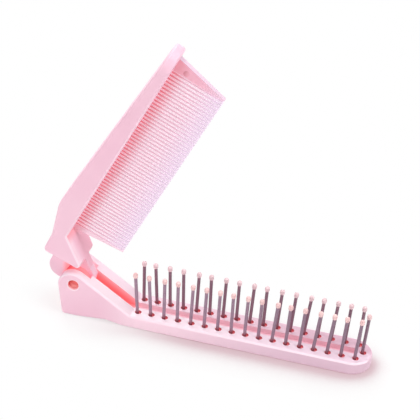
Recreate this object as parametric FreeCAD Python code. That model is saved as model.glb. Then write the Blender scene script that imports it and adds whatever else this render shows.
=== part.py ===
import FreeCAD, Part
import math
import os

from FreeCAD import Placement, Rotation, Vector

# Folding travel brush: a two-row pin brush lying on its back, hinged to a fine-tooth comb.
# Millimetres and degrees, +Z up. +X runs along the brush to its free end and Y runs across it.
# The origin lies on the floor under the hinge axis. The comb is drawn folded, with u along
# the brush and n upwards from the hinge axis, and is then swung open to its resting angle.

# Brush body
hinge_height = 13.4
ear_radius = 5.45
ear_drop = 0.7
ear_setback = 0.45
ear_foot = 4.2
foot_round = 1.2
ramp_reach = 21.6
ramp_blend = 2.0
pocket_reach = 3.4
pocket_floor = 0.9
plate_thickness = 2.2
side_wall = 1.5
edge_round = 1.0
slot_depth = 1.9
slot_end_gap = 1.9
relief_depth = 1.0
relief_round = 6.0
relief_start_share = 0.08
relief_peak_share = 0.58
relief_end_share = 0.85

# Pins
pins_per_row = 17
pin_pitch = 4.98
row_spacing = 8.24
first_pin_gap = 1.77
end_pin_step = 2.07
pin_height = 15.6
pin_diameter = 1.2
pin_hole_clearance = 0.08
dimple_diameter = 2.4
dimple_depth = 0.8
dimple_offset = 0.3
pin_head_diameter = 3.2
pin_head_thickness = 0.6
pin_head_clearance = 0.08
end_head_room = 0.3
channel_room = 0.58
ball_diameter = 1.75
ball_length = 2.35
ball_cap = 0.5
ball_fit = 0.02

# Lean of the pins along the brush: a fan from the first pair to the last, and each pin's own
pin_fan_deg = 6.0
near_lean_deg = [-2, -2, 0.5, 0, 1.5, 1, 0.5, -0.5, 0.5, 0, 2.5, 0.5, 1, 2.5, 2, -0.5, 0]
far_lean_deg = [1, -2, -1, -1, 1.5, -0.5, 1, 0, 1.5, 0, 1.5, 1.5, 3, 1, 1, -0.5, -2]
end_lean_deg = -1.0

# Pin retainer and back cover
retainer_thickness = 0.9
cover_thickness = 1.2
cover_recess = 0.1
cover_rim = 1.3
cover_lead = 0.8
seat_clearance = 0.05
peg_count = 4
peg_diameter = 1.6
peg_height = 0.9

# Hinge
hinge_pin_diameter = 3.86
hinge_pin_recess = 1.3
hinge_pin_chamfer = 0.25
ear_hole_chamfer = 0.3
ear_fit = 0.02
running_fit = 0.05
side_play = 0.3
turning_room = 1.14
hub_radius = 4.7
hub_width = 8.4
hub_room = 1.1
web_thickness = 4.0
web_drop = 5.5
web_round = 1.2
lobe_front = 4.9
lobe_drop = 2.7
lobe_round = 5.0
sweep_room = 0.6

# Comb spine and head
rest_angle_deg = 64.4
comb_width = 15.4
fold_room = 2.78
mouth_start = 16.7
mouth_blend = 0.5
head_depth = 4.75
heel_step = 1.0
heel_round = 1.5
flare_reach = 14.0
flare_rise = 0.3
flare_blend = 8.0
bend_reach = 27.3
bend_depth = 8.65
bend_round = 14.0
end_depth = 3.6
nose_drop = 0.7
nose_round = 1.4
spine_wall = 1.8
spine_roof = 2.0
spine_end = 2.8
rib_thickness = 1.1
channel_lead = 1.8

# Comb blade
blade_thickness = 2.4
blade_tip_thickness = 1.9
blade_fit = 0.03
blade_slot_play = 0.45
blade_lead = 0.25
tang_height = 1.9
tang_inset = 1.0
tooth_slots = 53
tooth_pitch = 1.402
tooth_gap = 0.66
tooth_dip = 0.1
tooth_chamfer = 0.2
tooth_taper = 0.6
tooth_lean_deg = 1.8
first_guard_width = 2.2
last_guard_width = 5.3
guard_tip_width = 0.45
mark_diameter = 2.0
mark_depth = 0.15
mark_step = 2.2
mark_drop = 4.4

# Length by which cutting tools run past a face, and the slack in picking edges
overrun = 1.0
pick_slack = 0.001

across = Vector(0, 1, 0)
along = Vector(1, 0, 0)
upwards = Vector(0, 0, 1)

# Heights of the brush, from the floor up
cover_top = cover_recess + cover_thickness
head_bottom = cover_top + retainer_thickness
plate_underside = head_bottom + pin_head_thickness
plate_height = plate_underside + plate_thickness
slot_floor = plate_height - slot_depth
ear_top = hinge_height - ear_drop + ear_radius
ear_back = -ear_setback - ear_radius
hinge_axis = Vector(0, 0, hinge_height)

# Plan of the brush, from its middle line out and from the hinge axis to its free end
row_y = row_spacing / 2
head_radius = pin_head_diameter / 2
island_half = row_y - head_radius - pin_head_clearance
channel_half = row_y + head_radius + channel_room
half_width = channel_half + side_wall
cover_half = half_width - cover_rim
ear_gap = hub_width + 2 * side_play
ramp_slot_width = web_thickness + 2 * side_play
plate_slot_width = blade_thickness + 2 * blade_slot_play
first_pin = ramp_reach + first_pin_gap
last_pin = first_pin + pin_pitch * (pins_per_row - 1)
end_pin = last_pin + end_pin_step
round_centre = last_pin - math.sqrt((row_y + channel_room - pin_head_clearance) ** 2 - row_y ** 2)
brush_tip = round_centre + half_width
channel_start = first_pin - head_radius - pin_head_clearance
island_end = end_pin - head_radius - end_head_room
cover_start = ramp_reach - cover_lead

# Comb, from the hinge axis
comb_half = comb_width / 2
mouth = plate_height + pin_height + ball_length / 2 + fold_room - hinge_height
tooth_length = mouth + hinge_height - plate_height + tooth_dip
blade_start = mouth_start + blade_lead
first_slot = blade_start + first_guard_width + tooth_gap / 2
last_slot = first_slot + tooth_pitch * (tooth_slots - 1)
blade_end = last_slot + tooth_gap / 2 + last_guard_width
comb_reach = blade_end + spine_end
nose_reach = ear_setback + ear_radius + turning_room
flare_back = mouth + head_depth + flare_rise
bend_back = mouth + bend_depth
end_back = mouth + end_depth
lobe_back = hinge_height - pocket_floor - sweep_room
groove_half = blade_thickness / 2 + blade_fit


def rounded_outline(corners):
    """A closed wire in the XZ plane through (x, z, radius) corners, each rounded by its radius."""
    points = [Vector(x, 0, z) for x, z, _ in corners]
    starts, ends, arcs = [], [], []
    for i, (_, _, radius) in enumerate(corners):
        here = points[i]
        back = (points[i - 1] - here).normalize()
        ahead = (points[(i + 1) % len(points)] - here).normalize()
        half_angle = back.getAngle(ahead) / 2
        run = radius / math.tan(half_angle)
        middle = (back + ahead).normalize() * (radius / math.sin(half_angle) - radius)
        starts.append(here + back * run)
        ends.append(here + ahead * run)
        arcs.append(Part.Arc(starts[i], here + middle, ends[i]).toShape() if radius else None)
    edges = []
    for i, arc in enumerate(arcs):
        edges.append(Part.LineSegment(ends[i - 1], starts[i]).toShape())
        if arc:
            edges.append(arc)
    return Part.Wire(edges)


def slab(wire, half):
    """A closed XZ outline made solid from -half to +half across the part."""
    solid = Part.Face(wire).extrude(across * (2 * half))
    solid.translate(across * -half)
    return solid


def block(x0, x1, half, z0, z1):
    """A box that is centred across the part."""
    return Part.makeBox(x1 - x0, 2 * half, z1 - z0, Vector(x0, -half, z0))


def bar(start, end, half, z0, z1):
    """An upright bar, square at its start and with a full round at its end."""
    near, far = Vector(end - half, -half, z0), Vector(end - half, half, z0)
    corners = [far, Vector(start, half, z0), Vector(start, -half, z0), near]
    sides = [Part.LineSegment(a, b).toShape() for a, b in zip(corners, corners[1:])]
    wire = Part.Wire(sides + [Part.Arc(near, Vector(end, 0, z0), far).toShape()])
    return Part.Face(wire).extrude(upwards * (z1 - z0))


def cross_cylinder(radius, half, centre):
    """A cylinder across the part, centred on its middle plane."""
    return Part.makeCylinder(radius, 2 * half, centre - across * half, across)


def round_sides(shape, half, end):
    """Rounds the outline of both flat sides of a bar-shaped solid and of its round end."""
    def on_side(point):
        if point.x > end - half:
            return abs(math.hypot(point.x - end + half, point.y) - half) < pick_slack
        return abs(abs(point.y) - half) < pick_slack

    def on_outline(edge):
        low, high = edge.ParameterRange
        a, middle, b = (edge.valueAt(t) for t in (low, (low + high) / 2, high))
        upright = math.hypot(b.x - a.x, b.y - a.y) < pick_slack
        return on_side(a) and on_side(middle) and on_side(b) and not upright

    return shape.makeFillet(edge_round, [edge for edge in shape.Edges if on_outline(edge)])


def tangent_from(point, centre, radius, side):
    """Direction from a point to where its line touches a circle, on its left (+1) or right (-1)."""
    reach = centre - point
    angle = math.atan2(reach.z, reach.x) + side * math.asin(radius / reach.Length)
    return Vector(math.cos(angle), 0, math.sin(angle))


def meeting_point(start, way, other, other_way):
    """Where two lines in the XZ plane cross."""
    gap = other - start
    cross = way.x * other_way.z - way.z * other_way.x
    return start + way * ((gap.x * other_way.z - gap.z * other_way.x) / cross)


def fan_deg(x):
    """Lean that a pin has from its place along the rows."""
    middle = (first_pin + last_pin) / 2
    return pin_fan_deg * (x - middle) / (last_pin - first_pin)


def row_places(y, own_leans):
    """Foot and lean of every pin in one row."""
    xs = [first_pin + pin_pitch * i for i in range(pins_per_row)]
    return [(x, y, fan_deg(x) + own_leans[i % len(own_leans)]) for i, x in enumerate(xs)]


def brush_blank():
    """The brush body's outside: ears, ramp, pin plate and the finger relief under the ramp."""
    foot = Vector(-ear_foot, 0, 0)
    ramp_foot = Vector(ramp_reach, 0, plate_height)
    ear_centre = hinge_axis - upwards * ear_drop - along * ear_setback
    ear_corner = meeting_point(foot, tangent_from(foot, ear_centre, ear_radius, 1),
                               ramp_foot, tangent_from(ramp_foot, ear_centre, ear_radius, -1))
    outline = rounded_outline([
        (foot.x, foot.z, foot_round),
        (ear_corner.x, ear_corner.z, ear_radius),
        (ramp_foot.x, ramp_foot.z, ramp_blend),
        (brush_tip, plate_height, 0),
        (brush_tip, 0, 0),
        (ramp_reach * relief_end_share, 0, relief_round),
        (ramp_reach * relief_peak_share, relief_depth, relief_round),
        (ramp_reach * relief_start_share, 0, relief_round),
    ])
    plan = bar(ear_back - overrun, brush_tip, half_width, -overrun, ear_top + overrun)
    return round_sides(slab(outline, half_width).common(plan), half_width, brush_tip)


def hinge_cuts():
    """The fork for the comb's tongue, the slot down the ramp, and the pin hole through the ears."""
    fork_half, pin_radius = ear_gap / 2, hinge_pin_diameter / 2 + ear_fit
    top = ear_top + overrun
    cuts = [
        block(ear_back - overrun, pocket_reach, fork_half, pocket_floor, top),
        cross_cylinder(hub_radius + hub_room, fork_half, hinge_axis),
        block(0, ramp_reach, ramp_slot_width / 2, slot_floor, top),
        cross_cylinder(pin_radius, half_width + overrun, hinge_axis),
    ]
    for side in (-1, 1):
        face = hinge_axis + across * (side * half_width)
        cuts.append(Part.makeCone(pin_radius + ear_hole_chamfer, pin_radius, ear_hole_chamfer,
                                  face, across * -side))
    return cuts


def pin_channel(clearance, z0, z1):
    """The U-shaped space under the plate that the pin heads lie in, drawn in by a clearance."""
    outer = bar(channel_start + clearance, round_centre + channel_half - clearance,
                channel_half - clearance, z0, z1)
    island = block(channel_start - overrun, island_end + clearance, island_half + clearance,
                   z0 - overrun, z1 + overrun)
    return outer.cut(island)


def cover_plan(clearance, z0, z1):
    """The back cover's plan, drawn in by a clearance."""
    return bar(cover_start + clearance, round_centre + cover_half - clearance,
               cover_half - clearance, z0, z1)


def cover_pegs(radius, height):
    """The pegs that hold the back cover on the solid middle of the body."""
    step = (island_end - channel_start) / peg_count
    xs = [channel_start + step * (i + 1 / 2) for i in range(peg_count)]
    return [Part.makeCylinder(radius, height, Vector(x, 0, cover_top)) for x in xs]


def pin_hole(x, y, lean):
    """A close hole along a pin's lean, with the wider dimple round the pin's foot."""
    below = plate_thickness + overrun
    hole = Part.makeCylinder(pin_diameter / 2 + pin_hole_clearance, below + overrun, Vector(0, 0, -below))
    hole.Placement = Placement(Vector(x, y, plate_height), Rotation(across, lean)) * hole.Placement
    dimple = Part.makeCylinder(dimple_diameter / 2, dimple_depth + overrun,
                               Vector(x + dimple_offset, y, plate_height - dimple_depth))
    return [hole, dimple]


def brush_body(places):
    """The moulded brush body with its fork, slots, pin holes and hollow back."""
    cuts = hinge_cuts()
    cuts.append(block(0, end_pin - slot_end_gap, plate_slot_width / 2, slot_floor,
                      plate_height + overrun))
    cuts.append(cover_plan(0, -overrun, cover_top))
    cuts.append(pin_channel(0, cover_top - overrun, plate_underside))
    cuts += cover_pegs(peg_diameter / 2 + seat_clearance, peg_height + seat_clearance)
    for place in places:
        cuts += pin_hole(*place)
    return brush_blank().cut(cuts).removeSplitter()


def back_cover():
    """The plate that closes the brush's back, with its pegs."""
    cover = cover_plan(seat_clearance, cover_recess, cover_top)
    return cover.fuse(cover_pegs(peg_diameter / 2, peg_height)).removeSplitter()


def pin_retainer():
    """The U-shaped rail that holds the pin heads up against the plate."""
    return pin_channel(seat_clearance, cover_top, head_bottom)


def pin(x, y, lean):
    """A headed pin whose foot stands on the plate at (x, y) and leans along the brush."""
    radius = pin_diameter / 2
    below = plate_thickness + pin_head_thickness / 2
    shaft = Part.makeCylinder(radius, below + pin_height + ball_length / 2 - ball_cap,
                              Vector(0, 0, -below))
    shaft.Placement = Placement(Vector(x, y, plate_height), Rotation(across, lean)) * shaft.Placement
    head_x = x - plate_thickness * math.tan(math.radians(lean))
    head = Part.makeCylinder(head_radius, pin_head_thickness, Vector(head_x, y, head_bottom))
    return head.fuse(shaft).removeSplitter()


def ball_tip(x, y, lean):
    """The long round bead on a pin's end, with the socket that the pin sits in."""
    radius, straight = ball_diameter / 2, (ball_length - ball_diameter) / 2
    slant = radius / math.sqrt(2)
    low, low_side = Vector(0, 0, -straight - radius), Vector(radius, 0, -straight)
    top, top_side = Vector(0, 0, straight + radius), Vector(radius, 0, straight)
    outline = Part.Wire([
        Part.Arc(low, Vector(slant, 0, -straight - slant), low_side).toShape(),
        Part.LineSegment(low_side, top_side).toShape(),
        Part.Arc(top_side, Vector(slant, 0, straight + slant), top).toShape(),
        Part.LineSegment(top, low).toShape(),
    ])
    bead = Part.Face(outline).revolve(Vector(0, 0, 0), upwards, 360)
    socket = Part.makeCylinder(pin_diameter / 2 + ball_fit, ball_length - ball_cap + overrun,
                               Vector(0, 0, -ball_length / 2 - overrun))
    tip = bead.cut(socket)
    tilt = Rotation(across, lean)
    foot = Vector(x, y, plate_height)
    tip.Placement = Placement(foot + tilt.multVec(upwards * pin_height), tilt)
    return tip


def hinge_pin():
    """The plain pin through both ears and the comb's tongue."""
    pin_body = cross_cylinder(hinge_pin_diameter / 2, half_width - hinge_pin_recess, hinge_axis)
    rims = [edge for edge in pin_body.Edges if edge.Curve.TypeId == "Part::GeomCircle"]
    return pin_body.makeChamfer(hinge_pin_chamfer, rims)


def comb_blank():
    """The comb's outside: the spine with its raised bend and the head above the hinge."""
    outline = rounded_outline([
        (nose_reach - heel_step, mouth + head_depth, heel_round),
        (flare_reach, flare_back, flare_blend),
        (bend_reach, bend_back, bend_round),
        (comb_reach, end_back, 0),
        (comb_reach, mouth, 0),
        (mouth_start, mouth, mouth_blend),
        (nose_reach, -nose_drop, nose_round),
    ])
    plan = bar(0, comb_reach, comb_half, -nose_drop - overrun, bend_back + overrun)
    return round_sides(slab(outline, comb_half).common(plan), comb_half, comb_reach)


def tongue():
    """The web, hub and rounded back lobe that carry the comb on the hinge pin."""
    slope = (mouth + nose_drop) / (mouth_start - nose_reach)
    front = nose_reach - (web_drop - nose_drop) / slope
    joint = nose_reach + (lobe_front + nose_drop) / slope
    web = rounded_outline([
        (joint, lobe_front, 0),
        (front, -web_drop, web_round),
        (0, -hub_radius, 0),
        (0, lobe_front, 0),
    ])
    lobe = rounded_outline([
        (joint, lobe_front, 0),
        (0, 0, 0),
        (-lobe_drop, 0, 0),
        (-lobe_drop, lobe_back, lobe_round),
        (joint, lobe_back, 0),
    ])
    hub_half = hub_width / 2
    centre = Vector(0, 0, 0)
    thick = slab(lobe, hub_half).cut(block(-lobe_drop - overrun, joint + overrun, hub_half + overrun,
                                           -overrun, lobe_front))
    bridge = block(-lobe_drop, 0, hub_half, 0, lobe_front)
    return [slab(web, web_thickness / 2), thick, bridge, cross_cylinder(hub_radius, hub_half, centre)]


def spine_hollows():
    """The two pockets in the spine's underside and the groove for the blade between them."""
    start = mouth_start + channel_lead
    rise = (bend_back - flare_back) * (start - flare_reach) / (bend_reach - flare_reach)
    outline = rounded_outline([
        (start, mouth - overrun, 0),
        (start, flare_back + rise - spine_roof, 0),
        (bend_reach, bend_back - spine_roof, 0),
        (comb_reach, end_back - spine_roof, 0),
        (comb_reach, mouth - overrun, 0),
    ])
    plan = bar(start - overrun, comb_reach - spine_wall, comb_half - spine_wall,
               mouth - 2 * overrun, bend_back)
    ribs = block(start - overrun, comb_reach, groove_half + rib_thickness, mouth - 2 * overrun, bend_back)
    groove = block(blade_start + tang_inset - blade_fit, blade_end - tang_inset + blade_fit, groove_half,
                   mouth - overrun, mouth + tang_height + blade_fit)
    return [slab(outline, comb_half).common(plan).cut(ribs), groove]


def comb_spine():
    """The comb's moulded spine, head and tongue in one piece."""
    solid = comb_blank().fuse(tongue()).removeSplitter()
    bore = cross_cylinder(hinge_pin_diameter / 2 + running_fit, comb_half, Vector(0, 0, 0))
    return solid.cut(spine_hollows() + [bore]).removeSplitter()


def tooth_point(u, depth):
    """A point on the blade's outline, down the slant of the teeth from the spine's mouth."""
    return Vector(u + depth * math.tan(math.radians(tooth_lean_deg)), 0, mouth - depth)


def blade_outline():
    """The blade's outline: tang, first guard, every tooth and the last guard."""
    half_gap = tooth_gap / 2
    tang_top = mouth + tang_height
    tang_from, tang_to = blade_start + tang_inset, blade_end - tang_inset
    points = [
        Vector(tang_from, 0, mouth), Vector(blade_start, 0, mouth),
        tooth_point(first_slot - half_gap - guard_tip_width, tooth_length),
    ]
    for i in range(tooth_slots):
        u = first_slot + tooth_pitch * i
        for side, order in ((-1, 1), (1, -1)):
            edge = u + side * half_gap
            run = [
                tooth_point(edge + side * tooth_chamfer, tooth_length),
                tooth_point(edge, tooth_length - tooth_taper),
                tooth_point(edge, 0),
            ]
            points += run[::order]
    points += [
        tooth_point(last_slot + half_gap + guard_tip_width, tooth_length),
        Vector(blade_end, 0, mouth), Vector(tang_to, 0, mouth),
        Vector(tang_to, 0, tang_top), Vector(tang_from, 0, tang_top),
    ]
    return Part.makePolygon(points + points[:1])


def comb_blade():
    """The comb's toothed blade, thinning towards the tips, with a moulding mark on its last guard."""
    half, tip_half = blade_thickness / 2, blade_tip_thickness / 2
    tip = mouth - tooth_length
    cuts = []
    for side in (-1, 1):
        wedge = [Vector(0, side * half, mouth), Vector(0, side * tip_half, tip),
                 Vector(0, side * tip_half, tip - overrun), Vector(0, side * (half + overrun), tip - overrun),
                 Vector(0, side * (half + overrun), mouth)]
        cuts.append(Part.Face(Part.makePolygon(wedge + wedge[:1])).extrude(along * (comb_reach + overrun)))
    thinning = (half - tip_half) * mark_drop / tooth_length
    mark_face = Vector(last_slot + mark_step, thinning - half, mouth - mark_drop)
    cuts.append(Part.makeCylinder(mark_diameter / 2, mark_depth + overrun,
                                  mark_face + across * mark_depth, across * -1))
    return slab(blade_outline(), half).cut(cuts)


def swung_open(shape):
    """Turns a piece of the comb about the hinge axis to its resting angle."""
    shape.Placement = Placement(hinge_axis, Rotation(across, -rest_angle_deg)) * shape.Placement
    return shape


near_places = row_places(-row_y, near_lean_deg)
far_places = row_places(row_y, far_lean_deg)
end_place = (end_pin, 0, fan_deg(end_pin) + end_lean_deg)

pieces = {
    "brush_body": brush_body(near_places + far_places + [end_place]),
    "back_cover": back_cover(),
    "pin_retainer": pin_retainer(),
    "hinge_pin": hinge_pin(),
    "comb_spine": swung_open(comb_spine()),
    "comb_blade": swung_open(comb_blade()),
    "pin_end": pin(*end_place),
    "end_tip": ball_tip(*end_place),
}
for row, places in (("near", near_places), ("far", far_places)):
    for i, place in enumerate(places):
        pieces[f"pin_{row}_{i + 1:02d}"] = pin(*place)
    pieces[f"{row}_row_tips"] = Part.makeCompound([ball_tip(*place) for place in places])

os.makedirs("parts", exist_ok=True)
for name, shape in pieces.items():
    shape.exportStep(f"parts/{name}.step")
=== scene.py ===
import math

import bmesh
import bpy
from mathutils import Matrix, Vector

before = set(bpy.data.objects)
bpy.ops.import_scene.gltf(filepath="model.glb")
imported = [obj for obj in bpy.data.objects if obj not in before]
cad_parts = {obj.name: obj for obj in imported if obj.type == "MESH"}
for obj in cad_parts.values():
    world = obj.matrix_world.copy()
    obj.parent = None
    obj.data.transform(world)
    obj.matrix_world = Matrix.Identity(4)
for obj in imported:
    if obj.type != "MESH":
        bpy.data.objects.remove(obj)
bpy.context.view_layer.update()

# Brush body: one bar of pink plastic, injection moulded with its two hinge ears, the slotted
# ramp and the plate that the pins stand in. Its slots and holes are painted red as shade, with a
# painted glow for the light that the plastic lets through.


def from_srgb(red, green, blue):
    """A screen colour of 0 to 255 as the linear colour that a shader takes."""
    def linear(value):
        share = value / 255
        return share / 12.92 if share <= 0.04045 else ((share + 0.055) / 1.055) ** 2.4
    return (linear(red), linear(green), linear(blue), 1.0)


class Finish:
    """A material whose patterns lie on the piece's own coordinates, in metres.

    A colour is a screen colour of three numbers, a shader colour of four or a node's output.
    """

    def __init__(self, name):
        self.material = bpy.data.materials.new(name)
        self.material.use_nodes = True
        self.tree = self.material.node_tree
        self.shader = self.tree.nodes["Principled BSDF"]
        coordinates = self.add("ShaderNodeTexCoord")
        self.place = coordinates.outputs["Object"]
        self.facing = coordinates.outputs["Normal"]
        self.colour = None
        self.light = None

    def add(self, kind, **settings):
        node = self.tree.nodes.new(kind)
        for key, value in settings.items():
            setattr(node, key, value)
        return node

    def join(self, source, target):
        self.tree.links.new(source, target)

    def math(self, operation, *values):
        """A sum on numbers or on other nodes' outputs."""
        node = self.add("ShaderNodeMath", operation=operation)
        for socket, value in zip(node.inputs, values):
            if isinstance(value, (int, float)):
                socket.default_value = value
            else:
                self.join(value, socket)
        return node.outputs["Value"]

    def parts_of(self, vector):
        """The X, Y and Z of a vector."""
        node = self.add("ShaderNodeSeparateXYZ")
        self.join(vector, node.inputs["Vector"])
        return node.outputs["X"], node.outputs["Y"], node.outputs["Z"]

    def along(self, way, start):
        """How far a point lies from a start along a direction."""
        node = self.add("ShaderNodeVectorMath", operation="DOT_PRODUCT")
        node.inputs[1].default_value = way
        self.join(self.place, node.inputs[0])
        return self.math("SUBTRACT", node.outputs["Value"], way.dot(start))

    def distance(self, first, second):
        squares = [self.math("POWER", part, 2.0) for part in (first, second)]
        return self.math("SQRT", self.math("ADD", *squares))

    def noise(self, size, detail=2.0):
        """A cloudy pattern whose patches are about this size."""
        node = self.add("ShaderNodeTexNoise")
        node.inputs["Scale"].default_value = 1 / size
        node.inputs["Detail"].default_value = detail
        self.join(self.place, node.inputs["Vector"])
        return node.outputs["Fac"]

    def between(self, value, low, high, to_low=0.0, to_high=1.0):
        """A value eased from one range to another and held at its ends."""
        node = self.add("ShaderNodeMapRange", interpolation_type="SMOOTHSTEP")
        ends = {"From Min": low, "From Max": high, "To Min": to_low, "To Max": to_high}
        for key, number in ends.items():
            node.inputs[key].default_value = number
        self.join(value, node.inputs["Value"])
        return node.outputs["Result"]

    def under(self, value, limit, blur=0.00002):
        """One below a limit and nought above it."""
        return self.between(value, limit - blur, limit + blur, 1.0, 0.0)

    def over(self, value, limit, blur=0.00002):
        """One above a limit and nought below it."""
        return self.between(value, limit - blur, limit + blur)

    def both(self, first, *others):
        for other in others:
            first = self.math("MULTIPLY", first, other)
        return first

    def either(self, first, *others):
        for other in others:
            first = self.math("MAXIMUM", first, other)
        return first

    def blend(self, share, first, second):
        """A colour between two."""
        node = self.add("ShaderNodeMix", data_type="RGBA")
        self.join(share, node.inputs["Factor"])
        first_socket, second_socket, result_socket = 6, 7, 2
        for key, colour in ((first_socket, first), (second_socket, second)):
            if not isinstance(colour, tuple):
                self.join(colour, node.inputs[key])
            elif len(colour) == 3:
                node.inputs[key].default_value = from_srgb(*colour)
            else:
                node.inputs[key].default_value = colour
        return node.outputs[result_socket]

    def drift(self, tint, deep_tint, size=0.03):
        """A slow drift between two colours."""
        return self.blend(self.between(self.noise(size), 0.35, 0.65), tint, deep_tint)

    def dim(self, colour, share):
        """A colour darkened to a share of itself."""
        node = self.add("ShaderNodeVectorMath", operation="SCALE")
        node.inputs["Scale"].default_value = share
        self.join(colour, node.inputs[0])
        return node.outputs["Vector"]

    def tint(self, where, colour):
        """Lays another colour over the finish where a mask is one."""
        self.colour = self.blend(where, self.colour, colour)

    def glow(self, where, strength):
        """Paints a glow on the piece where a mask is one, standing in for light that comes through
        it.
        """
        glowing = self.both(where, strength)
        self.light = glowing if self.light is None else self.either(self.light, glowing)

    def surface(self, roughness, grain_size, grain_depth, grain_strength):
        """Joins the colour, the light, a roughness and a fine grain to the shader."""
        self.join(self.colour, self.shader.inputs["Base Color"])
        self.join(roughness, self.shader.inputs["Roughness"])
        if self.light is not None:
            self.join(self.colour, self.shader.inputs["Emission Color"])
            self.join(self.light, self.shader.inputs["Emission Strength"])
            self.material.cycles.emission_sampling = "NONE"
        bump = self.add("ShaderNodeBump")
        bump.inputs["Strength"].default_value = grain_strength
        bump.inputs["Distance"].default_value = grain_depth
        self.join(self.noise(grain_size, detail=3.0), bump.inputs["Height"])
        self.join(bump.outputs["Normal"], self.shader.inputs["Normal"])

    def satin(self, grain_strength=0.25):
        """The surface of satin moulded plastic."""
        roughness = self.between(self.noise(0.004), 0.3, 0.7, 0.34, 0.4)
        self.surface(roughness, grain_size=0.0005, grain_depth=0.00002,
                     grain_strength=grain_strength)

    def put_on(self, *names):
        for name in names:
            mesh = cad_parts[name].data
            mesh.materials.clear()
            mesh.materials.append(self.material)


hinge_axis = Vector((0.0, 0.0, 0.0134))
body_pink = Finish("body_pink")
body_x, body_y, body_z = body_pink.parts_of(body_pink.place)
_, body_across, body_up = body_pink.parts_of(body_pink.facing)
off_middle = body_pink.math("ABSOLUTE", body_y)
body_aside = body_pink.math("ABSOLUTE", body_across)
from_hinge = body_pink.distance(body_x, body_pink.math("SUBTRACT", body_z, hinge_axis.z))
body_pink.colour = body_pink.drift((251, 209, 225), (249, 203, 221))

# The long sides carry painted light by the ramp and painted shade towards the free end.
painted_light_side, painted_shade_side = (255, 221, 234), (228, 193, 210)
on_side = body_pink.under(body_pink.math("ABSOLUTE", body_up), 0.55, 0.2)
by_ramp = body_pink.between(body_x, 0.008, 0.024)
past_ramp = body_pink.between(body_x, 0.022, 0.09)
body_pink.tint(body_pink.both(on_side, by_ramp), painted_light_side)
body_pink.tint(body_pink.both(on_side, past_ramp), painted_shade_side)

# The tops carry a painted sheen, paler on the near side than on the far side, and painted shade
# that darkens both towards the free end.
sheen_near_start, sheen_near_end = (251, 231, 240), (235, 208, 223)
sheen_far_ramp, shade_far_start, shade_far_end = (250, 226, 237), (244, 214, 227), (216, 175, 193)
on_top = body_pink.over(body_up, 0.72, 0.15)
to_free_end = body_pink.between(body_x, 0.01, 0.11)
off_ramp = body_pink.between(body_x, 0.015, 0.03)
to_far_side = body_pink.between(body_y, -0.0016, 0.0016)
painted_sheen_near_top = body_pink.blend(to_free_end, sheen_near_start, sheen_near_end)
far_top_sheen_and_shade = body_pink.blend(off_ramp, sheen_far_ramp, body_pink.blend(to_free_end, shade_far_start, shade_far_end))
body_pink.tint(on_top, body_pink.blend(to_far_side, painted_sheen_near_top, far_top_sheen_and_shade))

# The rounded edges between sides and tops carry a pale painted highlight.
top_edge_highlight = body_pink.both(body_pink.over(body_up, 0.3, 0.1),
                          body_pink.over(body_aside, 0.35, 0.1),
                          body_pink.under(body_aside, 0.93, 0.03))
body_pink.tint(top_edge_highlight, (252, 227, 238))

# The slot along the plate is painted paler than the one down the ramp and the fork between the
# ears. All carry painted shade, redder deeper down the ramp slot, and a painted glow.
slot_half, slot_end, slot_floor = 0.00168, 0.10324, 0.003
above_slot_floor = body_pink.over(body_z, slot_floor)
in_plate_slot = body_pink.both(body_pink.under(off_middle, slot_half),
                               body_pink.under(body_x, slot_end), above_slot_floor)
body_pink.tint(in_plate_slot, body_pink.blend(to_free_end, (238, 198, 208), (230, 182, 195)))
body_pink.glow(in_plate_slot, 0.12)
ramp_slot_half, ramp_slot_end, ramp_slot_blur = 0.00233, 0.0222, 0.0006
in_ramp_slot = body_pink.both(body_pink.under(off_middle, ramp_slot_half),
                              body_pink.under(body_x, ramp_slot_end, ramp_slot_blur),
                              above_slot_floor)
fork_half, fork_radius, fork_end, fork_floor = 0.00453, 0.00583, 0.00343, 0.00085
near_hinge = body_pink.either(body_pink.under(from_hinge, fork_radius),
                              body_pink.under(body_x, fork_end))
in_fork = body_pink.both(body_pink.under(off_middle, fork_half), near_hinge,
                         body_pink.over(body_z, fork_floor))
in_red = body_pink.either(in_ramp_slot, in_fork)
ramp_normal, ramp_foot = Vector((0.5407, 0.0, 0.8412)), Vector((0.0216, 0.0, 0.005))
to_ramp_top = body_pink.between(body_pink.along(ramp_normal, ramp_foot), -0.0034, -0.0002)
body_pink.tint(in_red, body_pink.blend(to_ramp_top, (249, 142, 146), (253, 184, 192)))
body_pink.glow(in_red, 0.16)
# The fork's corner by the ramp is painted pale with a strong painted glow, hiding its shade.
in_corner = body_pink.both(in_fork, body_pink.over(off_middle, 0.0024),
                           body_pink.between(body_x, 0.001, 0.003))
body_pink.tint(in_corner, (252, 200, 212))
body_pink.glow(in_corner, 0.4)

# The hinge hole is painted deep red as shade, with a painted highlight on its rim, painted light
# on its lower wall and a painted glow.
rim_radius, rim_blur, ear_outside = 0.0024, 0.0001, 0.0074
hole_radius, ear_inside = 0.00198, 0.0044
rim_highlight = body_pink.both(body_pink.under(from_hinge, rim_radius, rim_blur),
                        body_pink.over(off_middle, ear_outside))
body_pink.tint(rim_highlight, (255, 228, 238))
in_hole = body_pink.both(body_pink.under(from_hinge, hole_radius),
                         body_pink.over(off_middle, ear_inside))
up_hole = body_pink.between(body_z, hinge_axis.z - 0.0018, hinge_axis.z - 0.0004)
body_pink.tint(in_hole, body_pink.blend(up_hole, (255, 200, 204), (236, 98, 98)))
body_pink.glow(in_hole, 0.1)
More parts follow.
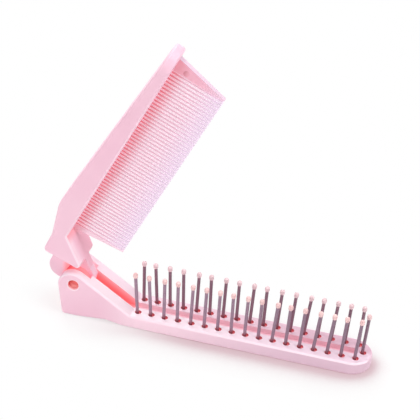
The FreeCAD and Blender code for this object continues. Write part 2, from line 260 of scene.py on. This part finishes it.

# Each pin's foot stands in a dimple, painted red as shade with a painted glow.
pin_pitch, row_y, first_dimple, end_dimple = 0.00498, 0.00412, 0.02367, 0.10542
dimple_radius, row_end, plate_top = 0.00123, 0.1048, 0.00497
to_dimple = body_pink.math("WRAP", body_pink.math("SUBTRACT", body_x, first_dimple),
                           pin_pitch / 2, -pin_pitch / 2)
from_dimple = body_pink.distance(to_dimple, body_pink.math("SUBTRACT", off_middle, row_y))
from_end_dimple = body_pink.distance(body_pink.math("SUBTRACT", body_x, end_dimple), body_y)
in_row = body_pink.both(body_pink.under(from_dimple, dimple_radius),
                        body_pink.under(body_x, row_end))
in_end = body_pink.under(from_end_dimple, dimple_radius)
in_dimple = body_pink.both(body_pink.either(in_row, in_end),
                           body_pink.under(body_z, plate_top), above_slot_floor)
body_pink.tint(in_dimple, (234, 122, 132))
body_pink.glow(in_dimple, 0.1)
body_pink.satin()
body_pink.put_on("brush_body")

# Pins: mauve nylon rod, cut to length and headed at the foot, pushed up through the plate from
# behind. Each stands a little out of true, and its foot is painted dark red as the shade where it
# enters the plate.
pins_in_row = 17
pin_names = [f"pin_{row}_{i + 1:02d}" for row in ("near", "far") for i in range(pins_in_row)]
mauve_nylon = Finish("mauve_nylon")
pin_x, pin_y, pin_z = mauve_nylon.parts_of(mauve_nylon.place)
streak = mauve_nylon.between(mauve_nylon.noise(0.0015), 0.3, 0.7)
mauve_nylon.colour = mauve_nylon.blend(streak, (164, 134, 153), (152, 122, 142))
last_pin_shade = mauve_nylon.between(pin_x, 0.03, 0.105)
far_row_shade = mauve_nylon.between(pin_y, -0.003, 0.003)
foot_shade = mauve_nylon.between(pin_z, 0.0045, 0.0075, 1.0, 0.0)
# Painted shade darkens the pins towards the last one and in the far row.
mauve_nylon.tint(last_pin_shade, (140, 113, 131))
mauve_nylon.tint(far_row_shade, (138, 102, 118))
mauve_nylon.tint(foot_shade, (146, 74, 86))
mauve_nylon.surface(mauve_nylon.between(streak, 0.0, 1.0, 0.36, 0.46),
                    grain_size=0.0003, grain_depth=0.00001, grain_strength=0.2)
mauve_nylon.put_on(*pin_names, "pin_end")

# Pin tips: a pale peach bead on each pin, made by dipping the pin's end so that the soft
# coating sets round.
bead_peach = Finish("bead_peach")
cloud = bead_peach.between(bead_peach.noise(0.001), 0.3, 0.7)
bead_peach.colour = bead_peach.blend(cloud, (244, 208, 206), (237, 192, 193))
_, bead_y, _ = bead_peach.parts_of(bead_peach.place)
# The far row of beads is painted a little darker as shade.
bead_peach.tint(bead_peach.between(bead_y, -0.003, 0.003), (234, 202, 207))
bead_peach.surface(bead_peach.between(cloud, 0.0, 1.0, 0.26, 0.36),
                   grain_size=0.0004, grain_depth=0.00001, grain_strength=0.2)
bead_peach.put_on("near_row_tips", "far_row_tips", "end_tip")

# Pin retainer: a U-shaped rail of the same plastic that lies behind the plate and holds the
# pin heads up. It is closed in by the cover.
rail_pink = Finish("rail_pink")
rail_pink.colour = rail_pink.drift((247, 200, 218), (244, 192, 211))
rail_pink.satin()
rail_pink.put_on("pin_retainer")

# Back cover: a flat plate of the same pink plastic with a round end, pressed into the body's
# back by its pegs.
cover_pink = Finish("cover_pink")
cover_pink.colour = cover_pink.drift((249, 206, 222), (247, 200, 218))
cover_pink.satin()
cover_pink.put_on("back_cover")

# Hinge pin: a plain pin of pink plastic, pushed through both ears and the comb's hub,
# its ends set back inside the ears. It is painted deep red as the shade inside the holes, paler
# lower down as painted light.
hinge_pink = Finish("hinge_pink")
_, _, hinge_z = hinge_pink.parts_of(hinge_pink.place)
up_pin = hinge_pink.between(hinge_z, hinge_axis.z - 0.0016, hinge_axis.z + 0.0002)
shaded_pin_red = hinge_pink.drift((243, 112, 110), (230, 92, 92), size=0.001)
hinge_pink.colour = hinge_pink.blend(up_pin, (255, 168, 166), shaded_pin_red)
hinge_pink.satin()
hinge_pink.put_on("hinge_pin")

# Comb spine: the comb's back with its bend, head, tongue and hub, moulded in one piece of the
# same pink and hollowed from below. The hollows and the tongue's foot are painted red as shade,
# with a painted glow.
comb_way, comb_rise = Vector((0.43209, 0.0, 0.90183)), Vector((-0.90183, 0.0, 0.43209))
spine_pink = Finish("spine_pink")
spine_x, spine_y, spine_z = spine_pink.parts_of(spine_pink.place)
spine_off_middle = spine_pink.math("ABSOLUTE", spine_y)
along_spine = spine_pink.along(comb_way, hinge_axis)
up_spine = spine_pink.along(comb_rise, hinge_axis)
spine_pink.colour = spine_pink.drift((250, 205, 222), (248, 199, 218))

mouth_level, hollow_half, hollow_start, hollow_end = 0.0113, 0.00592, 0.0175, 0.0972
bend_slope, bend_level, roof_slope, roof_level = 0.271, 0.0109, 0.0687, 0.0202
up_bend = spine_pink.along(comb_rise - comb_way * bend_slope, hinge_axis)
up_roof = spine_pink.along(comb_rise + comb_way * roof_slope, hinge_axis)
in_hollow = spine_pink.both(spine_pink.over(up_spine, mouth_level),
                            spine_pink.under(spine_off_middle, hollow_half),
                            spine_pink.over(along_spine, hollow_start),
                            spine_pink.under(along_spine, hollow_end),
                            spine_pink.under(up_bend, bend_level),
                            spine_pink.under(up_roof, roof_level))
# Painted shade and a faint painted glow in the hollows.
spine_pink.tint(in_hollow, (250, 184, 197))
spine_pink.glow(in_hollow, 0.05)
tongue_half, tongue_inside, tongue_reach, tongue_blur = 0.00425, 0.0021, 0.0085, 0.001
above_hinge = spine_pink.math("SUBTRACT", spine_z, hinge_axis.z)
spine_from_hinge = spine_pink.distance(spine_x, above_hinge)
in_tongue = spine_pink.both(spine_pink.under(spine_off_middle, tongue_half),
                            spine_pink.over(spine_off_middle, tongue_inside),
                            spine_pink.under(spine_from_hinge, tongue_reach, tongue_blur),
                            spine_pink.between(spine_x, -0.0058, -0.0034))
# Painted red shade and a painted glow on the tongue's sides.
spine_pink.tint(in_tongue, (255, 140, 146))
spine_pink.glow(in_tongue, 0.25)

# The head's sloping face has a painted highlight by its near edge, painted shade away from it,
# and painted red shade with a painted glow in the corner under the blade. The rounded edges
# towards the teeth carry a pale painted highlight.
slope_start, slope_end = 0.006, 0.0172
spine_forward, spine_across, _ = spine_pink.parts_of(spine_pink.facing)
spine_aside = spine_pink.math("ABSOLUTE", spine_across)
on_slope = spine_pink.both(spine_pink.over(spine_forward, 0.8, 0.05),
                           spine_pink.under(along_spine, slope_end),
                           spine_pink.over(along_spine, slope_start))
painted_shade_off_edge = spine_pink.both(on_slope, spine_pink.between(spine_y, -0.005, 0.0005))
painted_highlight_by_edge = spine_pink.both(on_slope, spine_pink.between(spine_y, -0.0062, -0.0036, 1.0, 0.0))
shaded_nook = spine_pink.both(on_slope, spine_pink.between(up_spine, 0.008, 0.0112))
spine_pink.tint(painted_shade_off_edge, (249, 184, 204))
spine_pink.tint(painted_highlight_by_edge, (253, 218, 231))
spine_pink.tint(shaded_nook, (248, 168, 181))
spine_pink.glow(shaded_nook, 0.1)
round_end, round_blur = 0.085, 0.012
spine_edge_highlight = spine_pink.both(spine_pink.over(spine_forward, 0.2, 0.1),
                                 spine_pink.over(spine_aside, 0.45, 0.1),
                                 spine_pink.under(spine_aside, 0.96, 0.02),
                                 spine_pink.under(along_spine, round_end, round_blur))
past_head = spine_pink.between(along_spine, 0.014, 0.022)
spine_pink.tint(spine_edge_highlight, spine_pink.blend(past_head, (253, 225, 236), (252, 215, 229)))
spine_pink.satin()
spine_pink.put_on("comb_spine")

# Comb blade: a thin toothed plate, moulded on its own and set in the spine's groove. Its teeth
# are painted redder towards the root as shade, most in the gaps between them, and pale lavender
# towards their points as light through them.
root_level, tip_level, root_reach, tip_reach = 0.01116, -0.0085, 0.006, 0.011
tooth_start, tooth_end, gap_facing, gap_blur = 0.0173, 0.0976, 0.6, 0.25
blade_pink = Finish("blade_pink")
up_blade = blade_pink.along(comb_rise, hinge_axis)
along_blade = blade_pink.along(comb_way, hinge_axis)
near_root = blade_pink.between(up_blade, root_level - root_reach, root_level)
near_tip = blade_pink.between(up_blade, tip_level, tip_level + tip_reach, 1.0, 0.0)
tooth_face = blade_pink.drift((255, 233, 243), (253, 228, 240))
tooth_face = blade_pink.blend(near_root, tooth_face, (254, 198, 212))
tooth_face = blade_pink.blend(near_tip, tooth_face, (244, 222, 240))
gap_shade = blade_pink.blend(near_root, (237, 206, 218), (236, 148, 162))
gap_shade = blade_pink.blend(near_tip, gap_shade, (237, 221, 236))
_, blade_across, _ = blade_pink.parts_of(blade_pink.facing)
blade_aside = blade_pink.math("ABSOLUTE", blade_across)
in_gap = blade_pink.both(blade_pink.under(blade_aside, gap_facing, gap_blur),
                         blade_pink.over(along_blade, tooth_start),
                         blade_pink.under(along_blade, tooth_end))
blade_pink.colour = blade_pink.blend(in_gap, tooth_face, gap_shade)

# The guards are painted pinker than the teeth as shade, most towards the root. The last has its
# outer edge painted a greyer lavender for the light along it, and a round moulding mark painted
# darker above as the shade in its dimple.
first_lean, first_edge, first_blur = 0.0314, 0.01945, 0.0001
along_first = blade_pink.along(comb_way + comb_rise * first_lean, hinge_axis)
first_guard_root_shade = blade_pink.blend(near_root, (250, 217, 230), (244, 176, 190))
blade_pink.tint(blade_pink.under(along_first, first_edge, first_blur), first_guard_root_shade)
guard_width, guard_blur = 0.0045, 0.0003
guard_shade = blade_pink.blend(near_root, (245, 184, 202), (246, 170, 185))
guard_shade = blade_pink.blend(near_tip, guard_shade, (244, 206, 226))
blade_pink.tint(blade_pink.over(along_blade, tooth_end - guard_width, guard_blur), guard_shade)
edge_lean, edge_start = 0.2154, 0.09554
along_edge = blade_pink.along(comb_way - comb_rise * edge_lean, hinge_axis)
blade_pink.tint(blade_pink.over(along_edge, edge_start), (226, 196, 214))
mark_along, mark_up, mark_radius, mark_blur = 0.09458, 0.00676, 0.00105, 0.0001
from_mark = blade_pink.distance(blade_pink.math("SUBTRACT", along_blade, mark_along),
                                blade_pink.math("SUBTRACT", up_blade, mark_up))
up_mark = blade_pink.between(up_blade, mark_up - 0.0006, mark_up + 0.0009)
mark_shade = blade_pink.blend(up_mark, (241, 177, 192), (220, 146, 160))
blade_pink.tint(blade_pink.under(from_mark, mark_radius, mark_blur), mark_shade)

# The teeth carry a painted glow, most in the gaps, for light through the thin plastic, and their
# base colour is dimmed to make up for it.
face_light, gap_light, light_on = 0.27, 0.37, 0.75
blade_pink.light = blade_pink.between(in_gap, 0.0, 1.0, face_light, gap_light)
blade_pink.satin(grain_strength=0.05)
blade_pink.join(blade_pink.dim(blade_pink.colour, light_on), blade_pink.shader.inputs["Base Color"])
blade_pink.shader.inputs["Specular IOR Level"].default_value = 0.2
blade_pink.put_on("comb_blade")

# Floor: a plain white table, larger than the view on every side. It takes the brush's cast shadow
# and a painted pink shadow near by, and goes to plain white further off.
floor_half = 2.0
floor_mesh = bpy.data.meshes.new("floor")
floor_builder = bmesh.new()
bmesh.ops.create_grid(floor_builder, x_segments=1, y_segments=1, size=floor_half)
floor_builder.to_mesh(floor_mesh)
floor_builder.free()
floor = bpy.data.objects.new("floor", floor_mesh)
bpy.context.scene.collection.objects.link(floor)
table_white = Finish("table_white")
table_x, table_y, _ = table_white.parts_of(table_white.place)


def rays_seen(tree):
    """One for what the camera sees, straight, in a gloss or through glass, and nought for light."""
    path = tree.nodes.new("ShaderNodeLightPath")
    total = path.outputs["Is Camera Ray"]
    for kind in ("Is Glossy Ray", "Is Transmission Ray"):
        larger = tree.nodes.new("ShaderNodeMath")
        larger.operation = "MAXIMUM"
        tree.links.new(total, larger.inputs[0])
        tree.links.new(path.outputs[kind], larger.inputs[1])
        total = larger.outputs["Value"]
    return total


# Close to the brush the table carries a painted pink shadow drawn from ambient occlusion, most in
# front of the bar and least by the hinge.
shadow_pink, plain_white = (0.63, 0.41, 0.46, 1.0), (1.0, 1.0, 1.0, 1.0)
contact = table_white.add("ShaderNodeAmbientOcclusion", samples=16)
contact.inputs["Distance"].default_value = 0.016
hidden = table_white.between(contact.outputs["AO"], 0.7, 1.0, 1.0, 0.0)
in_front = table_white.between(table_y, 0.001, 0.009, 1.0, 0.5)
off_hinge = table_white.between(table_x, 0.0, 0.05, 0.08, 1.0)
near_contact = table_white.both(hidden, in_front, off_hinge)
white_with_painted_shadow = table_white.add("ShaderNodeEmission")
table_white.join(table_white.blend(near_contact, plain_white, shadow_pink),
                 white_with_painted_shadow.inputs["Color"])

# The cast shadow shows by the bar and fades out further off.
bar_middle, bar_half, shadow_start, shadow_end, least_white = 0.052, 0.057, 0.006, 0.028, 0.75
matt = table_white.add("ShaderNodeBsdfDiffuse")
matt.inputs["Color"].default_value = (0.9, 0.9, 0.9, 1.0)
from_middle = table_white.math("ABSOLUTE", table_white.math("SUBTRACT", table_x, bar_middle))
past_end = table_white.math("MAXIMUM", table_white.math("SUBTRACT", from_middle, bar_half), 0.0)
from_bar = table_white.distance(past_end, table_y)
white_share = table_white.between(from_bar, shadow_start, shadow_end, least_white, 1.0)
table_mix = table_white.add("ShaderNodeMixShader")
table_white.join(table_white.both(rays_seen(table_white.tree), white_share),
                 table_mix.inputs["Fac"])
table_white.join(matt.outputs["BSDF"], table_mix.inputs[1])
table_white.join(white_with_painted_shadow.outputs["Emission"], table_mix.inputs[2])
table_out = table_white.tree.nodes["Material Output"]
table_white.join(table_mix.outputs["Shader"], table_out.inputs["Surface"])
table_white.tree.nodes.remove(table_white.shader)
floor_mesh.materials.append(table_white.material)

# Light: a white room and four large soft lamps at the back left, overhead, at the right and at
# the front left, far enough off to light the brush evenly.
room_light, room_seen = 0.3, 1.0
world = bpy.data.worlds.new("white_room")
bpy.context.scene.world = world
world.use_nodes = True
room_tree = world.node_tree
room = room_tree.nodes["Background"]
room.inputs["Color"].default_value = (1.0, 1.0, 1.0, 1.0)
room_level = room_tree.nodes.new("ShaderNodeMapRange")
room_level.inputs["To Min"].default_value = room_light
room_level.inputs["To Max"].default_value = room_seen
room_tree.links.new(rays_seen(room_tree), room_level.inputs["Value"])
room_tree.links.new(room_level.outputs["Result"], room.inputs["Strength"])


def soft_lamp(name, place, width, power):
    """A square lamp that shines at the middle of the brush."""
    middle = Vector((0.045, 0.0, 0.03))
    lamp = bpy.data.lights.new(name, "AREA")
    lamp.size = width
    lamp.energy = power
    holder = bpy.data.objects.new(name, lamp)
    holder.location = place
    holder.rotation_euler = (middle - Vector(place)).to_track_quat("-Z", "Y").to_euler()
    bpy.context.scene.collection.objects.link(holder)


soft_lamp("back_lamp", (-0.65, 1.00, 0.97), width=1.0, power=10.0)
soft_lamp("top_lamp", (0.05, 0.0, 1.27), width=0.9, power=6.0)
soft_lamp("right_lamp", (0.95, -0.10, 0.87), width=0.8, power=7.5)
soft_lamp("front_lamp", (-0.75, -1.20, 0.67), width=1.0, power=7.4)

# Camera: a long lens above and to the right of the brush's near side, a little rolled. Its place
# and angles were fitted to the pins and the outlines in the photograph.
camera = bpy.data.cameras.new("camera")
camera.sensor_width = 36.0
camera.lens = 122.306
camera_angles = (57.9163, -4.0192, 14.5826)
viewer = bpy.data.objects.new("camera", camera)
viewer.location = (0.13290, -0.40614, 0.31065)
viewer.rotation_euler = [math.radians(angle) for angle in camera_angles]
bpy.context.scene.collection.objects.link(viewer)
bpy.context.scene.camera = viewer
bpy.context.scene.view_settings.view_transform = "Standard"
